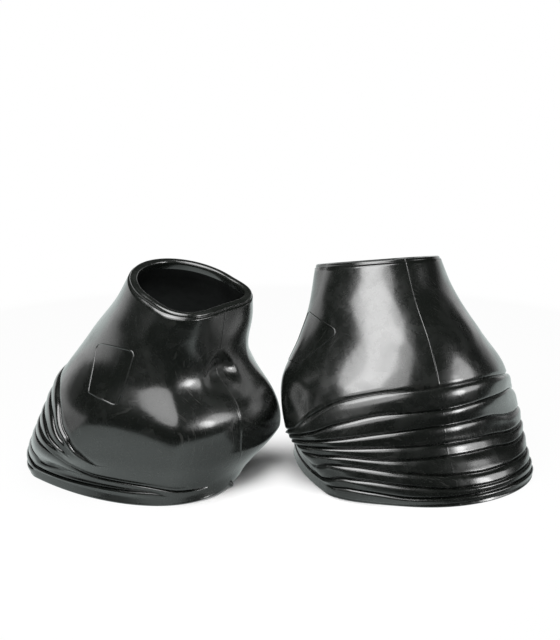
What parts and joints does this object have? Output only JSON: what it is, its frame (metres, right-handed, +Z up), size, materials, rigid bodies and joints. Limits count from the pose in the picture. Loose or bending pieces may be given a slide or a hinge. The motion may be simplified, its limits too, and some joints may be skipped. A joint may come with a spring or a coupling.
{
  "type": "overreach boots",
  "caption": "Pair of pull-on moulded rubber overreach boots with a tilted collar, shingled toe ribs and heel bulbs.",
  "frame": {"origin": "middle of the pair's box, on the floor that both boots stand on", "axes": "+X from the left boot to the right boot, +Y away from the viewer of the picture, +Z up"},
  "size_m": [0.3714, 0.192, 0.1542],
  "materials": {
    "left_boot": "glossy moulded black rubber",
    "right_boot": "glossy moulded black rubber"
  },
  "bodies": {
    "left_boot": {"left_boot": "left_boot"},
    "right_boot": {"right_boot": "right_boot"}
  },
  "joints": [
    {"name": "right_boot_lift", "type": "slide", "parent": "left_boot", "child": "right_boot", "axis": [0, 0, 1], "range_m": [0, 0.2]}
  ]
}
